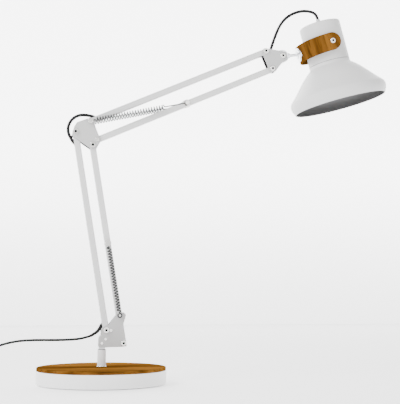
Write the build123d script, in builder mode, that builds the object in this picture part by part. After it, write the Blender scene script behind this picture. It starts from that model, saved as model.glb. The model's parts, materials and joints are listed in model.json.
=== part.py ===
from build123d import *
from math import atan2, cos, degrees, hypot, pi, radians, sin, tan
import os

# Swing arm desk lamp. Millimetres, +Z up. The origin is the middle of the base's resting face.
# The arms lie in the XZ plane, reaching towards +X, and -Y is the side of the screw heads.

os.makedirs("parts", exist_ok=True)

# Driving dimensions of the base and the post
base_diameter = 210.0
base_height = 28.0
wood_thickness = 5.0
pad_thickness = 1.0
shell_wall = 1.5
weight_thickness = 16.0
post_diameter = 14.0
post_top = 55.5
pin_diameter = 8.0
stud_diameter = 10.0

# Driving dimensions of the arms: each is a pair of square tubes of one length
tube_size = 10.0
tube_wall = 1.0
arm_length = 329.0
lower_arm_angle = 99.4
upper_arm_angle = 24.0
plate_gap = 12.0
plate_thickness = 1.5
bolt_diameter = 4.0
bush_diameter = 6.0
running = 0.05
open_pivot_clearance = 0.3

# Pivots in the XZ plane, written (x, z)
base_pivot = (6.5, 87.0)
base_link = (28.3, -21.3)
elbow_step = (23.8, 18.2)
upper_link = (11.7, -30.3)
spring_post_height = 110.5

# Driving dimensions of the neck, the yoke and the head
neck_pivot = (307.5, 556.9)
ball_radius = 7.0
yoke_pivot = (386.6, 578.2)
yoke_angle = 18.8
yoke_reach = 50.0
yoke_width = 30.0
yoke_thickness = 4.0
head_tilt = 14.5
cap_radius = 36.0
cap_length = 70.3
cap_above_pivot = 40.5
cap_wall = 1.2
shade_length = 75.0
shade_radius = 85.0
opening_radius = 80.0

# Leads and the mains cord
cord_diameter = 4.0
coil_radius = 22.0


def along(start, distance, angle):
    """The point at a distance from a start, along an angle from +X towards +Z."""
    return (start[0] + distance * cos(radians(angle)), start[1] + distance * sin(radians(angle)))


def beside(start, distance, offset, angle):
    """A point along an arm and to the left of it."""
    return along(along(start, distance, angle), offset, angle + 90)


def shifted(point, step):
    return (point[0] + step[0], point[1] + step[1])


base_pivot_2 = shifted(base_pivot, base_link)
elbow_pivot = along(base_pivot, arm_length, lower_arm_angle)
elbow_pivot_2 = shifted(elbow_pivot, base_link)
shoulder_pivot = shifted(elbow_pivot, elbow_step)
shoulder_pivot_2 = shifted(shoulder_pivot, upper_link)
head_pivot = along(shoulder_pivot, arm_length, upper_arm_angle)
head_pivot_2 = shifted(head_pivot, upper_link)
spring_ear = (28.0, spring_post_height)
lower_spring_post = along(base_pivot_2, arm_length / 2, lower_arm_angle)
upper_spring_post = along(shoulder_pivot_2, arm_length / 2, upper_arm_angle)
plate_outside = plate_gap / 2 + plate_thickness


def save(part, name):
    part.label = name
    export_step(part, f"parts/{name}.step")


# ---- Base: a pressed steel drum round a cast iron weight, under a wooden disc ----

shell_top = base_height - wood_thickness
weight_bottom = 5.0
weight_top = weight_bottom + weight_thickness
shell_screw_circle = 60.0
wood_screw_depth = 3.6

with BuildPart() as base_shell:
    with BuildSketch(Plane.XY.offset(pad_thickness)):
        Circle(base_diameter / 2)
    extrude(amount=shell_top - pad_thickness)
    fillet(base_shell.edges().group_by(Axis.Z)[0], radius=3.0)
    fillet(base_shell.edges().group_by(Axis.Z)[-1], radius=0.8)
    with BuildSketch(Plane.XY):
        Circle(base_diameter / 2 - shell_wall - 2.0)
    extrude(amount=shell_top - shell_wall, mode=Mode.SUBTRACT)
    with BuildSketch(Plane.XY.offset(shell_top - 2 * shell_wall)):
        Circle(stud_diameter / 2)
        with PolarLocations(shell_screw_circle, 3):
            Circle(2.6)
    extrude(amount=3 * shell_wall, mode=Mode.SUBTRACT)
save(base_shell.part, "base_shell")

with BuildPart() as base_weight:
    with BuildSketch(Plane.XY.offset(weight_bottom)):
        Circle(base_diameter / 2 - 5)
    extrude(amount=weight_thickness)
    chamfer(base_weight.edges().group_by(Axis.Z)[-1], length=1.5)
    with BuildSketch(Plane.XY.offset(weight_bottom)):
        Circle(stud_diameter / 2)
        with PolarLocations(shell_screw_circle, 3):
            Circle(4.6)
    extrude(amount=weight_thickness, mode=Mode.SUBTRACT)
    with BuildSketch(Plane.XY.offset(weight_bottom)):
        Circle(13.0)
    extrude(amount=8.0, mode=Mode.SUBTRACT)
save(base_weight.part, "base_weight")

with BuildPart() as base_cover:
    with BuildSketch(Plane.XY.offset(pad_thickness)):
        Circle(base_diameter / 2 - shell_wall - 2.4)
    extrude(amount=1.2)
save(base_cover.part, "base_cover")

with BuildPart() as foot_pad:
    with BuildSketch(Plane.XY):
        Circle(base_diameter / 2 - 6)
    extrude(amount=pad_thickness)
    chamfer(foot_pad.edges().group_by(Axis.Z)[0], length=0.4)
save(foot_pad.part, "foot_pad")

with BuildPart() as base_top:
    with BuildSketch(Plane.XY.offset(shell_top)):
        Circle(base_diameter / 2 - 0.6)
        Circle(stud_diameter / 2, mode=Mode.SUBTRACT)
    extrude(amount=wood_thickness)
    with BuildSketch(Plane.XY.offset(shell_top)):
        with PolarLocations(shell_screw_circle, 3):
            Circle(1.9)
    extrude(amount=wood_screw_depth, mode=Mode.SUBTRACT)
    fillet(base_top.edges().group_by(Axis.Z)[-1].sort_by(SortBy.LENGTH)[-1], radius=1.0)
save(base_top.part, "base_top_wood")

# Three wood screws come up through the drum's top into the disc
with BuildPart() as wood_screws:
    with BuildSketch(Plane.XY.offset(shell_top - shell_wall - 1.6)):
        with PolarLocations(shell_screw_circle, 3):
            Circle(4.0)
    extrude(amount=1.6)
    with BuildSketch(Plane.XY.offset(shell_top - shell_wall)):
        with PolarLocations(shell_screw_circle, 3):
            Circle(1.9)
    extrude(amount=shell_wall + wood_screw_depth)
save(wood_screws.part, "wood_screws")

# ---- Post: a turned steel socket that the arms turn in ----

bush_radius = 5.2
post_bore_bottom = base_height + 2.0

with BuildPart() as post:
    with BuildSketch(Plane.XY.offset(base_height)):
        Circle(post_diameter / 2)
    extrude(amount=post_top - base_height)
    fillet(post.edges().group_by(Axis.Z)[-1], radius=0.5)
    with BuildSketch(Plane.XY.offset(6.0)):
        Circle(stud_diameter / 2)
    extrude(amount=base_height - 6.0)
    chamfer(post.edges().group_by(Axis.Z)[0], length=0.8)
    with BuildSketch(Plane.XY.offset(post_bore_bottom)):
        Circle(bush_radius)
    extrude(amount=post_top - post_bore_bottom, mode=Mode.SUBTRACT)
save(post.part, "post")

with BuildPart() as post_collar:
    with BuildSketch(Plane.XY.offset(base_height)):
        Circle(post_diameter / 2 + 0.6)
        Circle(post_diameter / 2, mode=Mode.SUBTRACT)
    extrude(amount=1.4)
    fillet(post_collar.edges().group_by(Axis.Z)[-1].sort_by(SortBy.LENGTH)[-1], radius=0.5)
save(post_collar.part, "post_collar")

with BuildPart() as post_nut:
    with BuildSketch(Plane.XY.offset(weight_bottom + 3.0)):
        RegularPolygon(radius=8.5, side_count=6, major_radius=False)
        Circle(stud_diameter / 2, mode=Mode.SUBTRACT)
    extrude(amount=5.0)
save(post_nut.part, "post_nut")

with BuildPart() as swivel_bush:
    with BuildSketch(Plane.XY.offset(post_bore_bottom)):
        Circle(bush_radius)
    extrude(amount=post_top - post_bore_bottom)
    with BuildSketch(Plane.XY.offset(post_top)):
        Circle(post_diameter / 2 - 0.4)
    extrude(amount=0.9)
    with BuildSketch(Plane.XY.offset(post_bore_bottom)):
        Circle(pin_diameter / 2 + running)
    extrude(amount=post_top, mode=Mode.SUBTRACT)
save(swivel_bush.part, "swivel_bush")

# ---- Turntable: the pin, its lug and the two pressed plates of the base bracket ----

pin_flange_bottom = post_top + 1.2
lug_bottom = 59.0
lug_top = 79.0
lug_rivets = ((-0.5, 66.0), (5.5, 72.5))
rivet_diameter = 4.0

with BuildPart() as swivel_pin:
    with BuildSketch(Plane.XY.offset(post_bore_bottom + 1)):
        Circle(pin_diameter / 2)
    extrude(amount=pin_flange_bottom - post_bore_bottom)
    with BuildSketch(Plane.XY.offset(pin_flange_bottom)):
        Circle(5.4)
    extrude(amount=lug_bottom - pin_flange_bottom)
    with BuildSketch(Plane.XZ):
        with Locations((2.0, (lug_top + lug_bottom) / 2)):
            RectangleRounded(13.0, lug_top - lug_bottom, 1.0)
        with Locations(*lug_rivets):
            Circle(rivet_diameter / 2, mode=Mode.SUBTRACT)
    extrude(amount=plate_gap / 2, both=True)
save(swivel_pin.part, "swivel_pin")

base_plate_outline = [
    (-5.6, 59.2), (-5.0, 76.2), (-1.6, 77.6), (-1.6, 90.2), (10.2, 95.4), (21.6, 110.0), (26.6, 115.2),
    (34.6, 115.6), (38.6, 111.4), (33.4, 93.5), (36.4, 80.0), (40.2, 61.0), (31.0, 59.8),
]
elbow_plate_outline = [
    (-53.6, 405.0), (-49.6, 420.4), (-45.2, 427.4), (-28.4, 434.0), (-18.6, 434.8), (-14.4, 419.5),
    (-10.4, 409.6), (-5.2, 398.2), (-12.6, 384.8), (-22.4, 383.8),
]
head_plate_outline = [
    (270.6, 560.6), (273.6, 569.0), (303.5, 565.4), (314.4, 564.0), (316.4, 551.0), (306.6, 545.0),
    (293.8, 528.4), (284.2, 527.6),
]


small_screw = (14.0, 86.5)
stud_radius = 1.5
small_screw_radius = 1.3


def side_plate(outline, holes, side, corner=3.0):
    """One flat pressed plate, on the near side (-1) or the far side (+1) of the tubes."""
    inner_face = Plane.XZ.offset(plate_gap / 2 if side < 0 else -plate_outside)
    with BuildPart() as plate:
        with BuildSketch(inner_face) as face:
            with BuildLine():
                Polyline(*outline, close=True)
            make_face()
            fillet(face.vertices(), radius=corner)
            for point, diameter in holes:
                with Locations(point):
                    Circle(diameter / 2, mode=Mode.SUBTRACT)
        extrude(amount=plate_thickness)
        outer = plate.faces().sort_by(Axis.Y)[0 if side < 0 else -1]
        fillet(outer.outer_wire().edges(), radius=0.4)
    return plate.part


base_holes = [
    (base_pivot, bolt_diameter), (base_pivot_2, bolt_diameter),
    (lug_rivets[0], rivet_diameter), (lug_rivets[1], rivet_diameter),
    (small_screw, 2 * small_screw_radius), (spring_ear, 2 * stud_radius),
]
elbow_holes = [
    (elbow_pivot, bolt_diameter), (elbow_pivot_2, bolt_diameter),
    (shoulder_pivot, bolt_diameter), (shoulder_pivot_2, bolt_diameter),
]
head_holes = [
    (head_pivot, bolt_diameter), (head_pivot_2, bolt_diameter), (neck_pivot, bolt_diameter),
]
save(side_plate(base_plate_outline, base_holes, -1, corner=2.2), "base_bracket_near")
save(side_plate(base_plate_outline, base_holes, 1, corner=2.2), "base_bracket_far")
save(side_plate(elbow_plate_outline, elbow_holes, -1), "elbow_plate_near")
save(side_plate(elbow_plate_outline, elbow_holes, 1), "elbow_plate_far")
save(side_plate(head_plate_outline, head_holes, -1), "head_bracket_near")
save(side_plate(head_plate_outline, head_holes, 1), "head_bracket_far")


spring_line = plate_outside + 3.4
hook_wire = 0.7
hook_radius = 3.2
hook_half_depth = 0.9

# Two rivets through the pin's lug, a stud for each spring's hook, and a small screw in each plate
with BuildPart() as bracket_rivets:
    with BuildSketch(Plane.XZ):
        with Locations(*lug_rivets):
            Circle(rivet_diameter / 2)
    extrude(amount=plate_outside + 0.4, both=True)
    for side in (-1, 1):
        with BuildSketch(Plane.XZ.offset(side * (plate_gap / 2))):
            with Locations(spring_ear):
                Circle(stud_radius)
        extrude(amount=side * (spring_line - plate_gap / 2 + 1.6))
        with BuildSketch(Plane.XZ.offset(side * (plate_gap / 2))):
            with Locations(small_screw):
                Circle(small_screw_radius)
        extrude(amount=side * plate_thickness)
        with BuildSketch(Plane.XZ.offset(side * plate_outside)):
            with Locations(small_screw):
                Circle(2.4)
        extrude(amount=side * 1.4)
save(bracket_rivets.part, "bracket_rivets")


# ---- Pivot bolts: a socket or slotted head on the near side, a nut on the far side ----


def pivot_bolts(points, head_radius=4.6, slotted=False, slot_angle=55.0, reach=0.0):
    """Bolts through both plates at each point, reaching further out where a spring hooks on."""
    head_face = plate_outside + reach
    with BuildPart() as bolts:
        with BuildSketch(Plane.XZ.offset(-head_face)):
            with Locations(*points):
                Circle(bolt_diameter / 2)
        extrude(amount=2 * head_face)
        with BuildSketch(Plane.XZ.offset(head_face)):
            with Locations(*points):
                Circle(head_radius)
        extrude(amount=2.4)
        fillet(bolts.faces().sort_by(Axis.Y)[0].edges(), radius=0.9)
        with BuildSketch(Plane.XZ.offset(head_face + 0.9)):
            with Locations(*points):
                if slotted:
                    Rectangle(2.4 * head_radius, 1.3, rotation=slot_angle)
                else:
                    RegularPolygon(radius=1.7, side_count=6)
        extrude(amount=2.0, mode=Mode.SUBTRACT)
        with BuildSketch(Plane.XZ.offset(-head_face - 3.2)):
            with Locations(*points):
                RegularPolygon(radius=3.5, side_count=6, major_radius=False)
        extrude(amount=3.2)
    return bolts.part


spring_reach = 6.4
save(pivot_bolts([base_pivot, base_pivot_2]), "base_pivot_bolts")
elbow_bolts = pivot_bolts([elbow_pivot, elbow_pivot_2])
elbow_bolts += pivot_bolts([shoulder_pivot], slotted=True, reach=spring_reach)
elbow_bolts += pivot_bolts([shoulder_pivot_2], head_radius=3.4)
save(elbow_bolts, "elbow_bolts")
save(pivot_bolts([head_pivot, head_pivot_2]), "head_bracket_bolts")
save(pivot_bolts([neck_pivot], slotted=True, slot_angle=-50.0), "neck_clamp_bolt")


# ---- Arm tubes: square steel tube with its ends milled round, and nylon bushes in both ends ----


def square_tube(start, angle, slots=(), cross_hole=None):
    """A tube from one pivot to the other. A slot is its middle, its length and its side (+1 left)."""
    middle = along(start, arm_length / 2, angle)
    heading = Vector(cos(radians(angle)), 0, sin(radians(angle)))
    section = Plane(origin=(start[0], 0, start[1]), x_dir=(0, 1, 0), z_dir=heading)
    with BuildPart() as tube:
        with BuildSketch(section.offset(-tube_size / 2)):
            RectangleRounded(tube_size, tube_size, 1.5)
            RectangleRounded(tube_size - 2 * tube_wall, tube_size - 2 * tube_wall, 0.6, mode=Mode.SUBTRACT)
        extrude(amount=arm_length + tube_size)
        with BuildSketch(Plane.XZ):
            with Locations(middle):
                SlotCenterToCenter(arm_length, tube_size, rotation=angle)
        extrude(amount=tube_size, both=True, mode=Mode.INTERSECT)
        with BuildSketch(Plane.XZ):
            with Locations(start, along(start, arm_length, angle)):
                Circle(bush_diameter / 2)
            if cross_hole:
                with Locations(cross_hole):
                    Circle(bolt_diameter / 2)
        extrude(amount=tube_size, both=True, mode=Mode.SUBTRACT)
        for distance, length, side in slots:
            with BuildSketch(Plane.XZ):
                with Locations(beside(start, distance, side * tube_size / 2, angle)):
                    Rectangle(length, 3 * tube_wall, rotation=angle)
            extrude(amount=cord_diameter / 2 + 0.6, both=True, mode=Mode.SUBTRACT)
    return tube.part


def end_bushes(start, angle, far_clearance=running):
    """Two flanged half bushes pushed into each end of a tube."""
    ends = ((start, running), (along(start, arm_length, angle), far_clearance))
    with BuildPart() as bushes:
        for point, clearance in ends:
            for side in (-1, 1):
                with BuildSketch(Plane.XZ.offset(side * 0.1)):
                    with Locations(point):
                        Circle(bush_diameter / 2)
                        Circle(bolt_diameter / 2 + clearance, mode=Mode.SUBTRACT)
                extrude(amount=side * (tube_size / 2 - 0.1))
                with BuildSketch(Plane.XZ.offset(side * tube_size / 2)):
                    with Locations(point):
                        Circle(4.6)
                        Circle(bolt_diameter / 2 + clearance, mode=Mode.SUBTRACT)
                extrude(amount=side * 0.6)
    return bushes.part


entry_slot = 10.0
elbow_exit = 312.0
elbow_entry = 9.5
head_exit = 319.0
lead_slot = 12.0

rear_slots = [(entry_slot, lead_slot, 1), (elbow_exit, lead_slot, 1)]
top_slots = [(elbow_entry, 10.0, 1), (head_exit, 16.0, -1)]
save(square_tube(base_pivot, lower_arm_angle, rear_slots), "lower_rear_tube")
save(square_tube(base_pivot_2, lower_arm_angle, cross_hole=lower_spring_post), "lower_front_tube")
save(square_tube(shoulder_pivot, upper_arm_angle, top_slots), "upper_top_tube")
save(square_tube(shoulder_pivot_2, upper_arm_angle), "upper_bottom_tube")
save(end_bushes(base_pivot, lower_arm_angle), "lower_rear_bushes")
save(end_bushes(base_pivot_2, lower_arm_angle, open_pivot_clearance), "lower_front_bushes")
save(end_bushes(shoulder_pivot, upper_arm_angle), "upper_top_bushes")
save(end_bushes(shoulder_pivot_2, upper_arm_angle, open_pivot_clearance), "upper_bottom_bushes")

# ---- Balance springs: a pair on each arm, hooked on screws outside the plates ----

spring_radius = 4.1


def balance_springs(hook, post, coil_start, coil_end):
    """The near and the far spring of one arm: a coil with a hook ring at each end."""
    span = hypot(post[0] - hook[0], post[1] - hook[1])
    angle = degrees(atan2(post[1] - hook[1], post[0] - hook[0]))
    with BuildPart() as springs:
        for side in (-1, 1):
            centre = side * spring_line
            heading = Vector(cos(radians(angle)), 0, sin(radians(angle)))
            section = Plane(origin=(hook[0], centre, hook[1]), x_dir=(0, 1, 0), z_dir=heading)
            with BuildSketch(section.offset(coil_start)):
                Circle(spring_radius)
            extrude(amount=coil_end - coil_start)
            with BuildSketch(section.offset(hook_radius)):
                Circle(hook_wire)
            extrude(amount=span - 2 * hook_radius)
            for x, z in (hook, post):
                with BuildSketch(Plane.XZ.offset(-centre - hook_half_depth)):
                    with Locations((x, z)):
                        Circle(hook_radius + hook_wire)
                        Circle(hook_radius - hook_wire, mode=Mode.SUBTRACT)
                extrude(amount=2 * hook_half_depth)
    return springs.part


save(balance_springs(spring_ear, lower_spring_post, 7.0, 112.0), "lower_springs")
save(balance_springs(shoulder_pivot, upper_spring_post, 10.0, 125.0), "upper_springs")

with BuildPart() as spring_screw:
    with BuildSketch(Plane.XZ.offset(-spring_line - 1.6)):
        with Locations(lower_spring_post):
            Circle(bolt_diameter / 2)
    extrude(amount=2 * (spring_line + 1.6))
    for side in (-1, 1):
        with BuildSketch(Plane.XZ.offset(side * (spring_line + 1.6))):
            with Locations(lower_spring_post):
                Circle(4.8)
                Rectangle(12.0, 1.3, rotation=55, mode=Mode.SUBTRACT)
        extrude(amount=side * 1.2)
        with BuildSketch(Plane.XZ.offset(side * (spring_line + 1.6))):
            with Locations(lower_spring_post):
                Circle(4.8)
        extrude(amount=side * 0.8)
        with BuildSketch(Plane.XZ.offset(side * tube_size / 2)):
            with Locations(lower_spring_post):
                Circle(3.4)
        extrude(amount=side * (spring_line - hook_wire - 0.6 - tube_size / 2))
save(spring_screw.part, "lower_spring_screw")

clip_section = Plane(
    origin=(upper_spring_post[0], 0, upper_spring_post[1]),
    x_dir=(0, 1, 0),
    z_dir=(cos(radians(upper_arm_angle)), 0, sin(radians(upper_arm_angle))),
)
with BuildPart() as spring_clip:
    with BuildSketch(clip_section.offset(-4.0)):
        RectangleRounded(tube_size + 3.0, tube_size + 3.0, 2.6)
        RectangleRounded(tube_size, tube_size, 1.5, mode=Mode.SUBTRACT)
    extrude(amount=8.0)
    with BuildSketch(Plane.XZ.offset(-spring_line - 1.6)):
        with Locations(upper_spring_post):
            Circle(bolt_diameter / 2)
    extrude(amount=2 * (spring_line + 1.6))
    for side in (-1, 1):
        with BuildSketch(Plane.XZ.offset(side * (spring_line + 1.6))):
            with Locations(upper_spring_post):
                Circle(3.6)
        extrude(amount=side * 1.4)
    with BuildSketch(Plane.XZ):
        with Locations(upper_spring_post):
            Rectangle(12.0, tube_size, rotation=upper_arm_angle)
    extrude(amount=tube_size / 2, both=True, mode=Mode.SUBTRACT)
save(spring_clip.part, "upper_spring_clip")

# ---- Neck: a knuckle between the head plates, a rod, and a ball held in the yoke ----

ball_centre = along(yoke_pivot, -(yoke_reach - yoke_thickness / 2), yoke_angle)
rod_angle = degrees(atan2(ball_centre[1] - neck_pivot[1], ball_centre[0] - neck_pivot[0]))
rod_length = hypot(ball_centre[0] - neck_pivot[0], ball_centre[1] - neck_pivot[1])
rod_heading = Vector(cos(radians(rod_angle)), 0, sin(radians(rod_angle)))
rod_section = Plane(origin=(neck_pivot[0], 0, neck_pivot[1]), x_dir=(0, 1, 0), z_dir=rod_heading)
rod_radius = 2.5
knuckle_radius = 11.0

with BuildPart() as neck_knuckle:
    with BuildSketch(Plane.XZ):
        with Locations(neck_pivot):
            Circle(knuckle_radius)
            Circle(bolt_diameter / 2 + running, mode=Mode.SUBTRACT)
    extrude(amount=plate_gap / 2 - 0.35, both=True)
    chamfer(neck_knuckle.edges().filter_by(GeomType.CIRCLE).group_by(SortBy.LENGTH)[-1], length=0.8)
    with BuildSketch(rod_section.offset(6.0)):
        Circle(rod_radius)
    extrude(amount=knuckle_radius, mode=Mode.SUBTRACT)
save(neck_knuckle.part, "neck_knuckle")

with BuildPart() as ball_stud:
    with BuildSketch(rod_section.offset(6.0)):
        Circle(rod_radius)
    extrude(amount=rod_length - 6.0)
    with BuildSketch(rod_section.offset(knuckle_radius + 0.4)):
        RegularPolygon(radius=4.2, side_count=6, major_radius=False)
    extrude(amount=2.6)
    with Locations((ball_centre[0], 0, ball_centre[1])):
        Sphere(ball_radius)
save(ball_stud.part, "neck_ball_stud")

# ---- Yoke: a bent plywood strap, with the ball's socket in its web ----

yoke_heading = (cos(radians(yoke_angle)), 0, sin(radians(yoke_angle)))
yoke_up = (-sin(radians(yoke_angle)), 0, cos(radians(yoke_angle)))
yoke_plane = Plane(origin=(yoke_pivot[0], 0, yoke_pivot[1]), x_dir=yoke_heading, z_dir=yoke_up)
yoke_inside = cap_radius + 2.0
yoke_outside = yoke_inside + yoke_thickness
bend_radius = 40.0
socket_section = Plane(origin=(ball_centre[0], 0, ball_centre[1]), x_dir=(0, 1, 0), z_dir=yoke_heading)
socket_hole = 10.0
socket_flange = 12.4
socket_depth = 3.9
web_half = yoke_thickness / 2

with BuildPart() as yoke:
    with BuildSketch(yoke_plane) as strap:
        with BuildLine():
            Polyline(
                (yoke_width / 2, yoke_outside), (-yoke_reach, yoke_outside),
                (-yoke_reach, -yoke_outside), (yoke_width / 2, -yoke_outside),
                (yoke_width / 2, -yoke_inside), (yoke_thickness - yoke_reach, -yoke_inside),
                (yoke_thickness - yoke_reach, yoke_inside), (yoke_width / 2, yoke_inside),
                close=True,
            )
        make_face()
        rear = strap.vertices().filter_by(lambda v: abs(v.Y) > yoke_outside - 1).sort_by(Axis.X)[:2]
        fillet(rear, radius=bend_radius)
        inner = strap.vertices().filter_by(lambda v: abs(abs(v.Y) - yoke_inside) < 0.01).sort_by(Axis.X)[:2]
        fillet(inner, radius=bend_radius - yoke_thickness)
    extrude(amount=yoke_width / 2, both=True)
    with BuildSketch(Plane.XZ):
        with Locations(along(yoke_pivot, -yoke_reach / 2, yoke_angle)):
            SlotCenterToCenter(yoke_reach, yoke_width, rotation=yoke_angle)
        with Locations(along(yoke_pivot, -yoke_reach, yoke_angle)):
            Rectangle(yoke_width, yoke_width, rotation=yoke_angle)
    extrude(amount=yoke_outside + 1, both=True, mode=Mode.INTERSECT)
    with BuildSketch(Plane.XZ):
        with Locations(yoke_pivot):
            Circle(2.5)
    extrude(amount=yoke_outside + 1, both=True, mode=Mode.SUBTRACT)
    with BuildSketch(socket_section.offset(-14.0)):
        Circle(socket_hole)
    extrude(amount=26.0, mode=Mode.SUBTRACT)
    with BuildSketch(socket_section.offset(web_half)):
        Circle(socket_flange + 0.2)
    extrude(amount=12.0, mode=Mode.SUBTRACT)
    chamfer(yoke.faces().filter_by(Axis.Y).edges().filter_by(GeomType.CIRCLE), length=0.5)
save(yoke.part, "yoke")

# The socket is a cup from the inside of the web and a ring screwed on from behind
with BuildPart() as ball_socket:
    with BuildSketch(socket_section.offset(-5.0)):
        Circle(socket_hole)
    extrude(amount=5.0 + web_half)
    with BuildSketch(socket_section.offset(web_half)):
        Circle(socket_flange)
    extrude(amount=socket_depth - web_half)
    with Locations((ball_centre[0], 0, ball_centre[1])):
        Sphere(ball_radius + running, mode=Mode.SUBTRACT)
    with BuildSketch(socket_section.offset(-8.0)):
        Circle(8.0)
    with BuildSketch(socket_section):
        Circle(3.6)
    loft(mode=Mode.SUBTRACT)
    with BuildSketch(socket_section.offset(-web_half - 2.2)):
        Circle(socket_hole + 2.2)
        Circle(socket_hole, mode=Mode.SUBTRACT)
    extrude(amount=2.2)
save(ball_socket.part, "ball_socket")

with BuildPart() as yoke_screws:
    for side in (-1, 1):
        with BuildSketch(Plane.XZ.offset(side * (cap_radius - 3.4))):
            with Locations(yoke_pivot):
                Circle(2.5)
        extrude(amount=side * (yoke_outside - cap_radius + 3.4))
        with BuildSketch(Plane.XZ.offset(side * yoke_outside)):
            with Locations(yoke_pivot):
                Circle(4.6)
        extrude(amount=side * 2.2)
    heads = yoke_screws.faces().sort_by(Axis.Y)
    fillet(heads[0].edges() + heads[-1].edges(), radius=0.9)
    for side in (-1, 1):
        with BuildSketch(Plane.XZ.offset(side * (yoke_outside + 0.8))):
            with Locations(yoke_pivot):
                RegularPolygon(radius=1.9, side_count=6)
        extrude(amount=side * 2.0, mode=Mode.SUBTRACT)
    for side in (-1, 1):
        with BuildSketch(Plane.XZ.offset(side * (cap_radius + 0.5))):
            with Locations(yoke_pivot):
                Circle(6.0)
        extrude(amount=side * (yoke_inside - cap_radius - 0.5))
save(yoke_screws.part, "yoke_screws")

# ---- Head: cap, shade, lampholder and bulb, turned on one axis ----

head_down = (sin(radians(head_tilt)), 0, -cos(radians(head_tilt)))
head_across = (cos(radians(head_tilt)), 0, sin(radians(head_tilt)))
cap_top = (yoke_pivot[0] - cap_above_pivot * head_down[0], yoke_pivot[1] - cap_above_pivot * head_down[2])
head_origin = (cap_top[0], 0, cap_top[1])
head_plane = Plane(origin=head_origin, x_dir=head_across, z_dir=(0, 1, 0))
head_axis = Axis(head_origin, head_down)
head_section = Plane(origin=head_origin, x_dir=(0, 1, 0), z_dir=head_down)
seam = cap_length
opening = cap_length + shade_length
gland_bore = 5.0

# In head_plane, local x is the distance from the axis and local y the distance below the cap's top
with BuildPart() as cap:
    with BuildSketch(head_section):
        Circle(cap_radius)
    extrude(amount=cap_length)
    fillet(cap.edges().filter_by(GeomType.CIRCLE).sort_by(Axis.Z)[-1], radius=3.0)
    with BuildSketch(head_section.offset(1.6)):
        Circle(cap_radius - cap_wall)
    extrude(amount=cap_length, mode=Mode.SUBTRACT)
    with BuildSketch(head_section.offset(-2.0)):
        Circle(gland_bore)
    extrude(amount=6.0, mode=Mode.SUBTRACT)
    with BuildSketch(Plane.XZ):
        with Locations(yoke_pivot):
            Circle(4.0)
    extrude(amount=cap_radius + 1, both=True, mode=Mode.SUBTRACT)
save(cap.part, "head_cap")

with BuildPart() as cap_bushes:
    for side in (-1, 1):
        with BuildSketch(Plane.XZ.offset(side * (cap_radius - 4.4))):
            with Locations(yoke_pivot):
                Circle(4.0)
                Circle(2.5 + running, mode=Mode.SUBTRACT)
        extrude(amount=side * 4.6)
        with BuildSketch(Plane.XZ.offset(side * (cap_radius - 4.4))):
            with Locations(yoke_pivot):
                Circle(7.0)
                Circle(2.5 + running, mode=Mode.SUBTRACT)
        extrude(amount=side * 2.0)
save(cap_bushes.part, "cap_pivot_bushes")

with BuildPart() as shade:
    with BuildSketch(head_plane):
        with BuildLine():
            Line((cap_radius, seam + 0.7), (cap_radius, seam + 3.0))
            Spline(
                (cap_radius, seam + 3.0), (39.5, seam + 8.5), (78.0, seam + 49.0),
                tangents=[(0, 1), (1, 1.02)],
            )
            Spline((78.0, seam + 49.0), (shade_radius, seam + 61.0), tangents=[(1, 1.02), (0, 1)])
            Spline((shade_radius, seam + 61.0), (opening_radius, opening), tangents=[(0, 1), (-0.5, 1)])
            Line((opening_radius, opening), (opening_radius - 1.3, opening - 0.6))
            Spline(
                (opening_radius - 1.3, opening - 0.6), (shade_radius - 1.3, seam + 61.0),
                tangents=[(0.5, -1), (0, -1)],
            )
            Spline((shade_radius - 1.3, seam + 61.0), (77.0, seam + 49.8), tangents=[(0, -1), (-1, -1.02)])
            Spline(
                (77.0, seam + 49.8), (38.6, seam + 9.4), (cap_radius - 1.3, seam + 3.2),
                tangents=[(-1, -1.02), (0, -1)],
            )
            Line((cap_radius - 1.3, seam + 3.2), (cap_radius - 1.3, seam + 0.7))
            Line((cap_radius - 1.3, seam + 0.7), (cap_radius, seam + 0.7))
        make_face()
    revolve(axis=head_axis)
save(shade.part, "shade")

with BuildPart() as neck_ring:
    with BuildSketch(head_section.offset(seam - 8.0)):
        Circle(cap_radius - 1.3)
        Circle(cap_radius - 3.0, mode=Mode.SUBTRACT)
    extrude(amount=11.0)
    with BuildSketch(head_section.offset(seam)):
        Circle(cap_radius - 0.5)
        Circle(cap_radius - 3.0, mode=Mode.SUBTRACT)
    extrude(amount=0.7)
save(neck_ring.part, "shade_ring")

holder_top = 8.0
holder_length = 44.0
with BuildPart() as lampholder:
    with BuildSketch(head_section.offset(holder_top)):
        Circle(17.0)
    extrude(amount=14.0)
    with BuildSketch(head_section.offset(holder_top + 14.0)):
        Circle(19.5)
    extrude(amount=holder_length - 14.0)
    with BuildSketch(head_section.offset(holder_top + 17.0)):
        Circle(13.4)
    extrude(amount=holder_length, mode=Mode.SUBTRACT)
    with BuildSketch(head_section.offset(holder_top)):
        Circle(3.2)
    extrude(amount=8.0, mode=Mode.SUBTRACT)
save(lampholder.part, "lampholder")

with BuildPart() as gland:
    with BuildSketch(head_section.offset(holder_top + 6.0)):
        Circle(3.2)
    extrude(amount=-(holder_top + 6.0 + 3.0))
    with BuildSketch(head_section.offset(1.6)):
        Circle(gland_bore)
    extrude(amount=-1.6)
    with BuildSketch(head_section):
        Circle(6.0)
    extrude(amount=-2.6)
    with BuildSketch(head_section.offset(-2.6)):
        Circle(4.6)
    with BuildSketch(head_section.offset(-10.0)):
        Circle(3.4)
    loft()
    with BuildSketch(head_section.offset(1.6)):
        RegularPolygon(radius=7.0, side_count=6, major_radius=False)
    extrude(amount=3.6)
    with BuildSketch(head_section.offset(-10.0)):
        Circle(cord_diameter / 2)
    extrude(amount=holder_top + 16.0, mode=Mode.SUBTRACT)
save(gland.part, "cap_gland")

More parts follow.
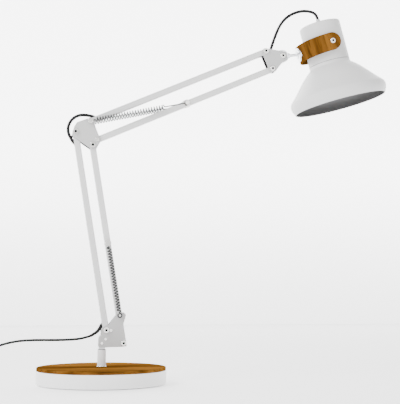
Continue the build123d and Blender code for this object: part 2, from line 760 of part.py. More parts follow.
bulb_top = holder_top + 18.0
with BuildPart() as bulb:
    with BuildSketch(head_plane):
        with BuildLine():
            Polyline((0, bulb_top), (5.0, bulb_top), (13.0, bulb_top + 4.0), (13.0, bulb_top + 26.0))
            Spline(
                (13.0, bulb_top + 26.0), (22.5, bulb_top + 54.0), (0, bulb_top + 77.0),
                tangents=[(0.3, 1), (-1, 0)],
            )
            Line((0, bulb_top + 77.0), (0, bulb_top))
        make_face()
    revolve(axis=head_axis)
save(bulb.part, "bulb")


# ---- Leads: the same round cord runs in the tubes and loops free at the elbow and the head ----


def corner_radii(points):
    """The largest tangent arc at each corner: 0.45 of the shorter run over the tangent of half the turn."""
    radii = []
    for before, corner, after in zip(points, points[1:], points[2:]):
        run_in = Vector(*corner) - Vector(*before)
        run_out = Vector(*after) - Vector(*corner)
        turn = radians(run_in.get_angle(run_out))
        radii.append(0.45 * min(run_in.length, run_out.length) / tan(turn / 2))
    return radii


def cord_tube(name, points, diameter=cord_diameter):
    """A round cord along straight runs joined by tangent arcs."""
    radii = corner_radii(points)
    with BuildPart() as tube:
        with BuildLine() as line:
            FilletPolyline(*points, radius=radii)
        route = line.wire()
        with BuildSketch(Plane(origin=route @ 0, z_dir=route % 0)):
            Circle(diameter / 2)
        sweep(path=route)
    section = pi * diameter**2 / 4
    length = route.length
    print(f"{name}: {length:.1f} mm long, volume {tube.part.volume / (section * length):.4f} of section x length")
    print("  radii " + " ".join(f"{radius:.1f}" for radius in radii))
    return tube.part


def flat(points, y=0.0):
    return [(x, y, z) for x, z in points]


def on_arm(start, angle, places):
    """Points given as distance along an arm and offset to its left."""
    return [beside(start, distance, offset, angle) for distance, offset in places]


cord_entry = on_arm(base_pivot, lower_arm_angle, [(10.0, 5.0)])[0]
elbow_out = on_arm(base_pivot, lower_arm_angle, [(312.4, 6.0)])[0]
elbow_in = on_arm(shoulder_pivot, upper_arm_angle, [(9.0, 6.2)])[0]
head_out = on_arm(shoulder_pivot, upper_arm_angle, [(321.5, -5.2)])[0]
gland_mouth = (cap_top[0] - 10.4 * head_down[0], cap_top[1] - 10.4 * head_down[2])

lower_lead = on_arm(
    base_pivot, lower_arm_angle,
    [(10.0, 5.0), (14.0, 1.6), (24.0, 0.3), (150.0, -0.4), (298.0, 0.3), (307.0, 1.6), (311.0, 4.6)],
)
upper_lead = on_arm(
    shoulder_pivot, upper_arm_angle,
    [(10.0, 4.6), (14.0, 1.6), (24.0, 0.3), (160.0, 0.6), (297.0, 0.2), (310.0, -1.2), (321.0, -5.0)],
)
elbow_loop = [
    elbow_out, (-54.6, 401.0), (-59.0, 409.6), (-59.8, 419.4), (-56.2, 429.2), (-48.8, 437.2),
    (-38.6, 441.2), (-28.0, 440.8), elbow_in,
]
head_loop = [
    head_out, (281.8, 556.0), (286.2, 563.4), (289.6, 575.0), (294.6, 589.4), (300.6, 604.6), (307.8, 617.8),
    (318.0, 628.8), (331.0, 636.6), (345.0, 641.0), (357.4, 641.2), (366.2, 639.2),
    (372.2, 634.2), gland_mouth,
]
save(cord_tube("lower_arm_lead", flat(lower_lead)), "lower_arm_lead")
save(cord_tube("upper_arm_lead", flat(upper_lead)), "upper_arm_lead")
save(cord_tube("elbow_lead", flat(elbow_loop)), "elbow_lead")
save(cord_tube("head_lead", flat(head_loop)), "head_lead")


# ---- Mains cord: a sleeve at the rear tube's slot, then a free cord to its switch, coil and plug ----

relief_diameter = 5.6
relief_route = [cord_entry, (-3.8, 88.8), (-9.6, 82.4), (-16.6, 78.4)]
cord_route = [
    (-17.0, 0, 78.2), (-30.0, 0, 73.8), (-50.0, 0.3, 71.8), (-78.0, 0.0, 71.4), (-106.0, -0.4, 71.8),
    (-130.0, 0.2, 70.8), (-150.0, 0.8, 67.4), (-172.0, 2.0, 60.6), (-197.0, 4.0, 48.0),
    (-221.0, 7.0, 31.0), (-244.0, 11.0, 13.6), (-266.0, 17.0, 4.2), (-287.0, 29.0, 2.4),
    (-301.0, 47.0, 5.0), (-301.0, 63.0, 5.0),
]
switch_middle = (-301.0, 92.0)
switch_length = 58.0
switch_width = 20.0
switch_height = 13.0
switch_split = 5.0
coil_middle = (-279.0, 150.0)
coil_height = 14.0
coil_half_width = 7.0
plug_rear = (-256.2, 113.0, 6.9)
plug_length = 38.0

save(cord_tube("cord_strain_relief", flat(relief_route), relief_diameter), "cord_strain_relief")
save(cord_tube("mains_cord", cord_route), "mains_cord")
switch_tail = [
    (-301.0, 121.0, 5.0), (-301.0, 129.0, 4.2), (-301.2, 138.0, 2.8), (-301.0, 146.0, 2.2),
]
plug_tail = [(-257.0, 146.0, 8.2), (-257.2, 136.0, 8.0), (-256.6, 124.0, 7.2), plug_rear]
save(cord_tube("switch_tail", switch_tail) + cord_tube("plug_tail", plug_tail), "cord_tails")

with BuildPart() as cord_coil:
    with BuildSketch(Plane.XY):
        with Locations(coil_middle):
            Circle(coil_radius + coil_half_width)
            Circle(coil_radius - coil_half_width, mode=Mode.SUBTRACT)
    extrude(amount=coil_height)
    fillet(cord_coil.edges(), radius=3.0)
save(cord_coil.part, "cord_coil")

rocker_size = (8.4, 17.0)
rocker_pivot = 9.6
with BuildPart() as switch_base:
    with BuildSketch(Plane.XY):
        with Locations(switch_middle):
            RectangleRounded(switch_width, switch_length, 8.0)
    extrude(amount=switch_split)
    fillet(switch_base.edges().group_by(Axis.Z)[0], radius=1.2)
    with BuildSketch(Plane.XY.offset(1.6)):
        with Locations(switch_middle):
            RectangleRounded(switch_width - 3.2, switch_length - 16.0, 3.0)
    extrude(amount=switch_split, mode=Mode.SUBTRACT)
save(switch_base.part, "switch_base")

with BuildPart() as switch_cover:
    with BuildSketch(Plane.XY.offset(switch_split)):
        with Locations(switch_middle):
            RectangleRounded(switch_width, switch_length, 8.0)
    extrude(amount=switch_height - switch_split)
    fillet(switch_cover.edges().group_by(Axis.Z)[-1], radius=3.0)
    with BuildSketch(Plane.XY.offset(switch_split)):
        with Locations(switch_middle):
            RectangleRounded(switch_width - 3.2, switch_length - 16.0, 3.0)
    extrude(amount=switch_height - switch_split - 2.0, mode=Mode.SUBTRACT)
    with BuildSketch(Plane.XY.offset(switch_split)):
        with Locations(switch_middle):
            RectangleRounded(rocker_size[0] + 0.8, rocker_size[1] + 2.2, 0.8)
    extrude(amount=switch_height, mode=Mode.SUBTRACT)
    with BuildSketch(Plane.YZ.offset(switch_middle[0] - switch_width / 2 + 0.7)):
        with Locations((switch_middle[1], rocker_pivot)):
            Circle(1.0 + running)
    extrude(amount=switch_width - 1.4, mode=Mode.SUBTRACT)
save(switch_cover.part, "switch_cover")

# The rocker is a shallow V seen from the side, so one end always stands proud
with BuildPart() as rocker:
    with BuildSketch(Plane.YZ.offset(switch_middle[0] - rocker_size[0] / 2)):
        with BuildLine():
            Polyline(
                (switch_middle[1] - 8.2, 8.6), (switch_middle[1] - 8.2, 16.4), (switch_middle[1], 14.0),
                (switch_middle[1] + 8.2, 13.6), (switch_middle[1] + 7.6, 8.6), (switch_middle[1], 6.8),
                close=True,
            )
        make_face()
    extrude(amount=rocker_size[0])
    fillet(rocker.edges().filter_by(Axis.X).group_by(Axis.Z)[-1], radius=1.0)
    with BuildSketch(Plane.YZ.offset(switch_middle[0] - switch_width / 2 + 0.8)):
        with Locations((switch_middle[1], rocker_pivot)):
            Circle(1.0)
    extrude(amount=switch_width - 1.6)
save(rocker.part, "switch_rocker")

with BuildPart() as plug:
    with BuildSketch(Plane.XY) as outline:
        with BuildLine():
            Polyline(
                (plug_rear[0] - 5.0, plug_rear[1]), (plug_rear[0] + 5.0, plug_rear[1]),
                (plug_rear[0] + 8.0, plug_rear[1] - 16.0), (plug_rear[0] + 17.6, plug_rear[1] - 27.0),
                (plug_rear[0] + 17.6, plug_rear[1] - plug_length),
                (plug_rear[0] - 17.6, plug_rear[1] - plug_length),
                (plug_rear[0] - 17.6, plug_rear[1] - 27.0), (plug_rear[0] - 8.0, plug_rear[1] - 16.0),
                close=True,
            )
        make_face()
        fillet(outline.vertices(), radius=2.0)
    extrude(amount=13.8)
    fillet(plug.edges().group_by(Axis.Z)[-1] + plug.edges().group_by(Axis.Z)[0], radius=1.6)
save(plug.part, "plug_body")

with BuildPart() as plug_pins:
    with BuildSketch(Plane.XZ.offset(plug_length - plug_rear[1])):
        with Locations((plug_rear[0] - 9.3, plug_rear[2]), (plug_rear[0] + 9.3, plug_rear[2])):
            Circle(2.0)
    extrude(amount=19.0)
    chamfer(plug_pins.faces().sort_by(Axis.Y)[:2].edges(), length=0.8)
save(plug_pins.part, "plug_pins")
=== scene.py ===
import json
from math import cos, pi, radians, sin

import bmesh
import bpy
from mathutils import Matrix, Vector


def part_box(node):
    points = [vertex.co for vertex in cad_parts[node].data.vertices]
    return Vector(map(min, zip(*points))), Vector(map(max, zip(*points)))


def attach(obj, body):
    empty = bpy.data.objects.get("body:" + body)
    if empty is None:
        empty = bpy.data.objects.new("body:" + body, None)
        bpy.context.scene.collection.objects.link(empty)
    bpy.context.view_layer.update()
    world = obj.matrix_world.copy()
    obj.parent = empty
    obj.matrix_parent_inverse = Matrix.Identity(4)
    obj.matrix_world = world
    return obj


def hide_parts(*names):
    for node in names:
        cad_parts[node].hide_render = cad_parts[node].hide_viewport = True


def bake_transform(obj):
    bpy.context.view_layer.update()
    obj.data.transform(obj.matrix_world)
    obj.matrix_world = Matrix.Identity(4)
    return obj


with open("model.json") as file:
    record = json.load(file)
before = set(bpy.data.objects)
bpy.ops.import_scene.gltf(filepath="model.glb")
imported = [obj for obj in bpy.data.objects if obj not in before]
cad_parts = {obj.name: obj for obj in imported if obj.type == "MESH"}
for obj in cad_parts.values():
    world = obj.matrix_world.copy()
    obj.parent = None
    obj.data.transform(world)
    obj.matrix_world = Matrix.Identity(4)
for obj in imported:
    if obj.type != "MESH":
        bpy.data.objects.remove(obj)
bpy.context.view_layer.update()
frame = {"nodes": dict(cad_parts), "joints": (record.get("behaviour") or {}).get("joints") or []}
parts = frame["nodes"]
pivots = {joint["name"]: Vector(joint["pos_m"]) for joint in frame["joints"]}
scene = bpy.context.scene

# ---- Camera ----
# The lamp stands on a table and is seen from the side of its screw heads, a little from the
# left, from the height of the lower arm. The lens is long, so the arms keep their angles.

camera_data = bpy.data.cameras.new("camera")
camera_data.lens = 81.856
camera_data.sensor_width = 36.0
camera = bpy.data.objects.new("camera", camera_data)
camera.location = (-0.12528, -1.51155, 0.13931)
camera.rotation_euler = (radians(95.947), 0, radians(-10.779))
scene.collection.objects.link(camera)
scene.camera = camera

# ---- Mains cord ----
# One round lead in a black PVC sheath. It leaves the sleeve on the lower arm, falls to the
# table, passes through its switch, and the rest is wound and tied beside its plug.

cord_diameter = 0.004
fall = [
    (-17.0, 0, 78.2), (-30.0, 0, 73.8), (-50.0, 0.3, 71.8), (-78.0, 0.0, 71.4), (-106.0, -0.4, 71.8),
    (-130.0, 0.2, 70.8), (-150.0, 0.8, 67.4), (-172.0, 2.0, 60.6), (-197.0, 4.0, 48.0),
    (-221.0, 7.0, 31.0), (-244.0, 11.0, 13.6), (-266.0, 17.0, 4.2), (-287.0, 29.0, 2.4),
    (-301.0, 47.0, 5.0), (-301.0, 63.0, 5.0),
]
to_coil = [(-301.0, 121.0, 5.0), (-301.3, 129.0, 4.4), (-303.4, 138.0, 3.2), (-305.2, 146.0, 2.6)]
to_plug = [
    (-256.8, 143.0, 16.2), (-256.8, 134.0, 16.2), (-256.6, 125.0, 11.2), (-256.4, 119.4, 7.2),
    (-256.2, 112.0, 6.9),
]
coil_middle = (-279.0, 150.0)
coil_turns = 9.5
coil_steps = 16
turn_spacing = 4.2
inner_turn = 18.0
first_layer = 2.6
layer_count = 4
columns_wide = 3
lead_sides = 14


def coil_route():
    """The coil's turns: three beside each other in each layer, and each layer lying on the last.

    A turn moves to its next place along a quarter of its length. It climbs a quarter turn
    earlier than it moves sideways, so that it never meets the turn that it lies against.
    """
    columns = [2, 1, 0, 0, 1, 2, 2, 1, 0, 0, 1]
    layers = [0, 0, 0, 1, 1, 1, 2, 2, 2, 3, 3]
    moves = []
    move_at = 0.0
    for before, after in zip(layers, layers[1:]):
        climbs = after > before
        follows_climb = bool(moves) and moves[-1][1]
        move_at += 0.75 if climbs or follows_climb or not moves else 1.0
        moves.append((move_at, climbs))
    route = []
    for step in range(1, int(coil_turns * coil_steps)):
        turned = step / coil_steps
        column, layer = columns[0], layers[0]
        for (start, climbs), to_column, to_layer in zip(moves, columns[1:], layers[1:]):
            share = min(max((turned - start) / 0.25, 0), 1)
            share = share * share * (3 - 2 * share)
            column += share * (to_column - column)
            layer += share * (to_layer - layer)
        reach = (inner_turn + column * turn_spacing) / cos(pi / coil_steps)
        angle = pi - 2 * pi * turned
        route.append((
            coil_middle[0] + reach * cos(angle),
            coil_middle[1] + reach * sin(angle),
            first_layer + layer * turn_spacing,
        ))
    return route


def metres(points):
    return [Vector(point) / 1000 for point in points]


def smooth_line(route, fineness=6):
    """Points along the smooth curve that a springy lead takes through its route."""
    curve = bpy.data.curves.new("route", "CURVE")
    curve.dimensions = "3D"
    spline = curve.splines.new("NURBS")
    spline.points.add(len(route) - 1)
    for point, place in zip(spline.points, route):
        point.co = (*place, 1)
    spline.order_u = 3
    spline.use_endpoint_u = True
    spline.resolution_u = fineness
    holder = bpy.data.objects.new("route", curve)
    line_mesh = bpy.data.meshes.new_from_object(holder)
    line = [vertex.co.copy() for vertex in line_mesh.vertices]
    bpy.data.objects.remove(holder)
    bpy.data.curves.remove(curve)
    bpy.data.meshes.remove(line_mesh)
    return line


def rings_along(line, radius_at, sides=16):
    """Rings of points round a line, each turned as little as can be from the one before."""
    rings = []
    across = None
    travelled = 0.0
    for index, place in enumerate(line):
        before = line[max(index - 1, 0)]
        after = line[min(index + 1, len(line) - 1)]
        heading = (after - before).normalized()
        across = heading.orthogonal() if across is None else across
        across = (across - heading * across.dot(heading)).normalized()
        upward = heading.cross(across)
        travelled += (place - before).length
        radius = radius_at(travelled)
        angles = [2 * pi * side / sides for side in range(sides)]
        rings.append([place + radius * (across * cos(a) + upward * sin(a)) for a in angles])
    return rings


def skin_mesh(name, rings):
    """A closed tube through rings of points, with flat ends."""
    sides = len(rings[0])
    points = [point for ring in rings for point in ring]
    faces = []
    for row in range(len(rings) - 1):
        for side in range(sides):
            low = row * sides + side
            low_next = row * sides + (side + 1) % sides
            faces.append((low, low_next, low_next + sides, low + sides))
    faces.append(tuple(reversed(range(sides))))
    faces.append(tuple(range(len(points) - sides, len(points))))
    mesh = bpy.data.meshes.new(name)
    mesh.from_pydata(points, [], faces)
    mesh.shade_smooth()
    mesh.polygons[-1].use_smooth = False
    mesh.polygons[-2].use_smooth = False
    return mesh


def piece(name, mesh, material):
    """A finished piece, with its material."""
    mesh.materials.clear()
    mesh.materials.append(material)
    made = bpy.data.objects.new(name, mesh)
    scene.collection.objects.link(made)
    return made


def new_finish(name, colour, roughness, metallic=0.0):
    material = bpy.data.materials.new(name)
    material.use_nodes = True
    shader = material.node_tree.nodes["Principled BSDF"]
    shader.inputs["Base Color"].default_value = (*colour, 1)
    shader.inputs["Roughness"].default_value = roughness
    shader.inputs["Metallic"].default_value = metallic
    return material


def shader_input(material, name):
    return material.node_tree.nodes["Principled BSDF"].inputs[name]


def speckle(material, scale, detail=3.0, stretch=(1, 1, 1), turn=0.0):
    """A noise pattern over the piece. The stretch is along the axes after a turn about Y."""
    tree = material.node_tree
    places = tree.nodes.new("ShaderNodeTexCoord")
    turned = tree.nodes.new("ShaderNodeMapping")
    turned.inputs["Rotation"].default_value = (0, turn, 0)
    stretched = tree.nodes.new("ShaderNodeMapping")
    stretched.inputs["Scale"].default_value = stretch
    noise = tree.nodes.new("ShaderNodeTexNoise")
    noise.inputs["Scale"].default_value = scale
    noise.inputs["Detail"].default_value = detail
    tree.links.new(places.outputs["Object"], turned.inputs["Vector"])
    tree.links.new(turned.outputs["Vector"], stretched.inputs["Vector"])
    tree.links.new(stretched.outputs["Vector"], noise.inputs["Vector"])
    return noise.outputs[0]


def tint(material, pattern, dark, light, low=0.35, high=0.65):
    """Colours a piece from dark to light by a pattern."""
    tree = material.node_tree
    ramp = tree.nodes.new("ShaderNodeValToRGB")
    ramp.color_ramp.elements[0].position = low
    ramp.color_ramp.elements[0].color = (*dark, 1)
    ramp.color_ramp.elements[1].position = high
    ramp.color_ramp.elements[1].color = (*light, 1)
    tree.links.new(pattern, ramp.inputs["Fac"])
    tree.links.new(ramp.outputs["Color"], shader_input(material, "Base Color"))
    return ramp.outputs["Color"]


def polish(material, pattern, low, high):
    """Lets the roughness wander between two values by a pattern."""
    tree = material.node_tree
    spread = tree.nodes.new("ShaderNodeMapRange")
    spread.inputs["From Min"].default_value = 0.3
    spread.inputs["From Max"].default_value = 0.7
    spread.inputs["To Min"].default_value = low
    spread.inputs["To Max"].default_value = high
    tree.links.new(pattern, spread.inputs["Value"])
    tree.links.new(spread.outputs["Result"], shader_input(material, "Roughness"))


def relief(material, pattern, depth):
    """Raises the surface by a pattern, up to a depth in metres."""
    tree = material.node_tree
    bump = tree.nodes.new("ShaderNodeBump")
    bump.inputs["Distance"].default_value = depth
    tree.links.new(pattern, bump.inputs["Height"])
    tree.links.new(bump.outputs["Normal"], shader_input(material, "Normal"))


def dress(material, *names):
    """Gives a finish to frame parts whose shape stays as it is."""
    for name in names:
        for slot in parts[name].material_slots:
            slot.material = material


pvc = new_finish("black_pvc_sheath", (0.004, 0.004, 0.0045), 0.5)
shader_input(pvc, "Specular IOR Level").default_value = 0.25
polish(pvc, speckle(pvc, 120.0), 0.44, 0.6)
relief(pvc, speckle(pvc, 2600.0, 2.0), 0.00002)

cord_line = smooth_line(metres(fall + to_coil + coil_route() + to_plug))
cord_rings = rings_along(cord_line, lambda travelled: cord_diameter / 2, lead_sides)
mains_cord = piece("mains_lead", skin_mesh("mains_lead", cord_rings), pvc)
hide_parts("mains_cord", "cord_tails", "cord_coil")
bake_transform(mains_cord)

# ---- Cord tie ----
# A short strap of black hook-and-loop tape round the wound turns, which keeps the spare
# length together. It lies between the coil and the table.

tie_width = 0.007
tie_thickness = 0.0006
tie_angle = radians(52)
tie_corner = 0.0022
tie_side_room = 2.2
tie_top_room = 2.1


def tie_mesh():
    """A flat band, bent to a rounded box round the section of the coil."""
    inside = (inner_turn - tie_side_room) / 1000
    outside = (inner_turn + (columns_wide - 1) * turn_spacing + tie_side_room) / 1000
    top = (first_layer + (layer_count - 1) * turn_spacing + tie_top_room) / 1000
    low, high = tie_corner + tie_thickness, top - tie_corner
    corners = [
        (outside - tie_corner, high, 0), (inside + tie_corner, high, 90),
        (inside + tie_corner, low, 180), (outside - tie_corner, low, 270),
    ]
    rows = []
    for x, z, first in corners:
        for step in range(7):
            angle = radians(first + 15 * step)
            rows.append((x, z, cos(angle), sin(angle)))
    outward = Vector((cos(tie_angle), sin(tie_angle), 0))
    sideways = Vector((-sin(tie_angle), cos(tie_angle), 0))
    middle = Vector((coil_middle[0], coil_middle[1], 0)) / 1000
    points = []
    for x, z, rx, rz in rows:
        for reach, side in ((0, -1), (tie_thickness, -1), (tie_thickness, 1), (0, 1)):
            place = middle + outward * (x + rx * (tie_corner + reach))
            place += sideways * (side * tie_width / 2)
            place.z = max(z + rz * (tie_corner + reach), 0.0)
            points.append(place)
    faces = []
    count = len(rows)
    for row in range(count):
        after = (row + 1) % count
        for side in range(4):
            next_side = (side + 1) % 4
            faces.append((
                4 * row + side, 4 * row + next_side, 4 * after + next_side, 4 * after + side,
            ))
    mesh = bpy.data.meshes.new("cord_tie")
    mesh.from_pydata(points, [], faces)
    return mesh


def outward_mesh(mesh, sharp_angle=35.0):
    """Turns every face outwards and shades the mesh smooth, with its sharp edges kept."""
    made = bmesh.new()
    made.from_mesh(mesh)
    bmesh.ops.recalc_face_normals(made, faces=made.faces)
    for face in made.faces:
        face.smooth = True
    for edge in made.edges:
        edge.smooth = len(edge.link_faces) == 2 and edge.calc_face_angle(0) < radians(sharp_angle)
    made.to_mesh(mesh)
    made.free()
    return mesh


tape = new_finish("black_hook_tape", (0.016, 0.016, 0.017), 0.85)
relief(tape, speckle(tape, 3800.0, 1.0), 0.00015)
cord_tie = piece("cord_tie", outward_mesh(tie_mesh()), tape)
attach(cord_tie, "root")

# ---- In-line switch and plug ----
# The switch is two black mouldings clipped round the lead, with a rocker in the upper one.
# The plug is moulded on, with two plated pins.

moulding = new_finish("black_moulding", (0.018, 0.018, 0.019), 0.36)
polish(moulding, speckle(moulding, 300.0), 0.3, 0.42)
relief(moulding, speckle(moulding, 3200.0, 2.0), 0.00003)
plated = new_finish("nickel_plated_brass", (0.72, 0.68, 0.58), 0.22, 1.0)
polish(plated, speckle(plated, 400.0), 0.16, 0.32)
dress(moulding, "switch_base", "switch_cover", "switch_rocker", "plug_body")
dress(plated, "plug_pins")

# ---- Strain relief ----
# A tapered sleeve of soft black PVC, with rings cut round it so that it bends evenly. It is
# pushed into the slot of the rear tube, and the lead runs through it.

sleeve_route = metres([(-0.07, 0, 96.05), (-3.8, 0, 88.8), (-9.6, 0, 82.4), (-18.6, 0, 77.6)])
sleeve_root = 0.0031
sleeve_tip = 0.00235
ring_pitch = 0.0024
ring_depth = 0.00045
ring_width_share = 0.35
plain_root = 0.003
plain_tip = 0.002
sleeve_line = smooth_line(sleeve_route, 40)
sleeve_length = sum((b - a).length for a, b in zip(sleeve_line, sleeve_line[1:]))


def sleeve_radius(travelled):
    """Thick at the tube and thin at the tip, and cut in at every ring."""
    whole = sleeve_root + (sleeve_tip - sleeve_root) * travelled / sleeve_length
    groove = max(0.0, cos(2 * pi * travelled / ring_pitch) - ring_width_share)
    between_ends = plain_root < travelled < sleeve_length - plain_tip
    return whole - (ring_depth * groove if between_ends else 0.0)


sleeve_mesh = skin_mesh("strain_relief", rings_along(sleeve_line, sleeve_radius, 20))
sleeve = piece("strain_relief", sleeve_mesh, pvc)
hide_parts("cord_strain_relief")
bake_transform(sleeve)

# ---- Leads in the arms ----
# The same lead runs inside the tubes. It loops out past the elbow and past the head bracket,
# long enough for both to fold, and goes down through the gland in the cap's top.

elbow_route = metres([
    (-47.6, 0, 392.4), (-50.6, 0, 394.4), (-54.6, 0, 401.0), (-59.0, 0, 409.6), (-59.8, 0, 419.4),
    (-56.2, 0, 429.2), (-48.8, 0, 437.2), (-38.6, 0, 441.2), (-28.0, 0, 440.8), (-17.7, 0, 439.1),
    (-13.6, 0, 436.4),
])
head_route = metres([
    (268.6, 0, 558.2), (272.4, 0, 555.6), (281.8, 0, 556.0), (286.2, 0, 563.4), (289.6, 0, 575.0),
    (294.6, 0, 589.4), (300.6, 0, 604.6), (307.8, 0, 617.8), (318.0, 0, 628.8), (331.0, 0, 636.6),
    (345.0, 0, 641.0), (357.4, 0, 641.2), (366.2, 0, 639.2), (372.2, 0, 634.2), (374.6, 0, 624.6),
])
loop_diameter = 0.0052


def lead_between(name, line, breaks, replaced):
    """A loop of lead in lengths that meet at the breaks."""
    rings = rings_along(line, lambda travelled: loop_diameter / 2, lead_sides)
    marks = [0]
    for place in metres(breaks):
        marks.append(min(range(len(line)), key=lambda index: (line[index] - place).length))
    marks.append(len(line) - 1)
    for number, (first, last) in enumerate(zip(marks, marks[1:])):
        mesh = skin_mesh(name, rings[first:last + 1])
        length = piece(f"{name}_{number + 1}", mesh, pvc)
        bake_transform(length)
        if number == 0:
            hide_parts(replaced)


lead_between(
    "elbow_loop", smooth_line(elbow_route, 8),
    [(-56.2, 0, 429.2)], "elbow_lead",
)
lead_between(
    "head_loop", smooth_line(head_route, 8),
    [(286.6, 0, 565.0), (301.0, 0, 604.6), (340.0, 0, 639.4)], "head_lead",
)
dress(pvc, "lower_arm_lead", "upper_arm_lead")

# ---- Base ----
# A drum pressed from steel sheet, powder coated white, over a cast iron weight. A thin oak
# disc lies on it, screwed from below, and a foam rubber pad is glued under it.


def white_coat(name, tone):
    """Satin white powder coat, with the faint orange peel that it cures with."""
    paint = new_finish(name, (tone, tone, tone), 0.4)
    shader_input(paint, "Specular IOR Level").default_value = 0.35
    warm = (tone * 1.0, tone * 0.995, tone * 0.985)
    cool = (tone * 0.97, tone * 0.972, tone * 0.972)
    tint(paint, speckle(paint, 14.0, 2.0), cool, warm)
    polish(paint, speckle(paint, 220.0), 0.36, 0.48)
    relief(paint, speckle(paint, 1500.0, 2.0), 0.00003)
    return paint


def oak(name, turn, stretch):
    """Oiled oak: broad bands of colour, fine dark pores, and both drawn out along the grain."""
    wood = new_finish(name, (0.24, 0.1, 0.02), 0.6)
    shader_input(wood, "Specular IOR Level").default_value = 0.0
    bands = speckle(wood, 30.0, 6.0, stretch, turn)
    pores = speckle(wood, 190.0, 3.0, stretch, turn)
    tree = wood.node_tree
    colour = tint(wood, bands, (0.045, 0.017, 0.003), (0.2, 0.085, 0.015), 0.32, 0.66)
    lines = tree.nodes.new("ShaderNodeMapRange")
    lines.inputs["From Min"].default_value = 0.34
    lines.inputs["From Max"].default_value = 0.46
    lines.inputs["To Min"].default_value = 0.55
    lines.inputs["To Max"].default_value = 1.0
    darken = tree.nodes.new("ShaderNodeMixRGB")
    darken.blend_type = "MULTIPLY"
    darken.inputs["Fac"].default_value = 1.0
    tree.links.new(pores, lines.inputs["Value"])
    tree.links.new(colour, darken.inputs["Color1"])
    tree.links.new(lines.outputs["Result"], darken.inputs["Color2"])
    tree.links.new(darken.outputs["Color"], shader_input(wood, "Base Color"))
    polish(wood, bands, 0.5, 0.66)
    relief(wood, pores, 0.00012)
    return wood


zinc = new_finish("zinc_plate", (0.6, 0.6, 0.61), 0.34, 1.0)
polish(zinc, speckle(zinc, 500.0), 0.28, 0.44)
iron_and_seam_shade = new_finish("cast_iron_and_seam_shade", (0.06, 0.06, 0.062), 0.7, 0.6)
relief(iron_and_seam_shade, speckle(iron_and_seam_shade, 700.0), 0.0003)
foam = new_finish("foam_rubber", (0.03, 0.03, 0.031), 0.9)
relief(foam, speckle(foam, 1600.0), 0.0002)
base_coat = white_coat("white_drum_coat", 0.82)
dress(base_coat, "base_shell", "post")
dress(oak("oiled_oak_disc", 0.0, (0.12, 1.6, 1.6)), "base_top_wood")
dress(zinc, "base_cover", "wood_screws", "post_nut", "swivel_pin")
dress(iron_and_seam_shade, "base_weight")
dress(foam, "foot_pad")

# ---- Pivot plates and arms ----
# Flat plates of steel sheet in pairs, with two pairs of square steel tubes between them, all
# powder coated. The bolts are nickel plated and turn in pressed-in nylon bushes.


def repaint(material, share, colour):
    """Lays a second colour over a finish where a share of 1 says so."""
    tree = material.node_tree
    below = shader_input(material, "Base Color")
    mixed = tree.nodes.new("ShaderNodeMixRGB")
    if below.links:
        tree.links.new(below.links[0].from_socket, mixed.inputs["Color1"])
    else:
        mixed.inputs["Color1"].default_value = below.default_value
    mixed.inputs["Color2"].default_value = (*colour, 1)
    tree.links.new(share, mixed.inputs["Fac"])
    tree.links.new(mixed.outputs["Color"], below)


def maths(material, operation, first, second):
    """One sum on two values, each a socket or a number."""
    node = material.node_tree.nodes.new("ShaderNodeMath")
    node.operation = operation
    for place, value in zip(node.inputs, (first, second)):
        if isinstance(value, (int, float)):
            place.default_value = value
        else:
            material.node_tree.links.new(value, place)
    return node.outputs["Value"]


def shade_between_plates(material):
    """Painted shade: black on the faces of a pair of plates that look at each other, where the shade
    between the plates falls.
    """
    tree = material.node_tree
    place = tree.nodes.new("ShaderNodeTexCoord")
    position = tree.nodes.new("ShaderNodeSeparateXYZ")
    normal = tree.nodes.new("ShaderNodeSeparateXYZ")
    tree.links.new(place.outputs["Object"], position.inputs["Vector"])
    tree.links.new(place.outputs["Normal"], normal.inputs["Vector"])
    side = maths(material, "SIGN", position.outputs["Y"], 0.0)
    outward = maths(material, "MULTIPLY", side, normal.outputs["Y"])
    repaint(material, maths(material, "LESS_THAN", outward, -0.7), (0.01, 0.01, 0.01))


def shade_socket_centres(material, places, radius):
    """Painted shade: black discs on the screws round each pivot's axis, where their socket recesses lie in
    shade.
    """
    tree = material.node_tree
    coordinate = tree.nodes.new("ShaderNodeTexCoord")
    nearest = 1.0
    for place in places:
        flat = tree.nodes.new("ShaderNodeVectorMath")
        flat.operation = "MULTIPLY_ADD"
        flat.inputs[1].default_value = (1, 0, 1)
        flat.inputs[2].default_value = (-place[0], 0, -place[2])
        length = tree.nodes.new("ShaderNodeVectorMath")
        length.operation = "LENGTH"
        tree.links.new(coordinate.outputs["Object"], flat.inputs[0])
        tree.links.new(flat.outputs["Vector"], length.inputs[0])
        nearest = maths(material, "MINIMUM", length.outputs["Value"], nearest)
    repaint(material, maths(material, "LESS_THAN", nearest, radius), (0.006, 0.006, 0.006))


base_plate_coat = white_coat("white_base_plate_coat", 0.42)
plate_coat = white_coat("white_plate_coat", 0.45)
# The facing sides of the plates are painted black, as painted shade between each pair.
shade_between_plates(plate_coat)
tube_coat = white_coat("white_tube_coat", 0.6)
nylon = new_finish("natural_nylon", (0.78, 0.78, 0.74), 0.45)
polish(nylon, speckle(nylon, 600.0), 0.4, 0.52)
nickel = new_finish("bright_nickel", (0.8, 0.79, 0.77), 0.16, 1.0)
polish(nickel, speckle(nickel, 700.0), 0.1, 0.26)
socket_nickel = new_finish("socket_screw_nickel", (0.8, 0.79, 0.77), 0.2, 1.0)
polish(socket_nickel, speckle(socket_nickel, 700.0), 0.14, 0.3)
socket_shade_radius = 0.0021
bolt_places = [pivots[name] for name in (
    "lower_arm_tilt", "lower_front_follow", "elbow_level", "head_bracket_level", "neck_tilt",
    "head_tilt",
)]
bolt_places += [
    pivots["elbow_level"] + pivots["lower_front_follow"] - pivots["lower_arm_tilt"],
    pivots["head_bracket_level"] + pivots["upper_bottom_follow"] - pivots["upper_arm_tilt"],
]
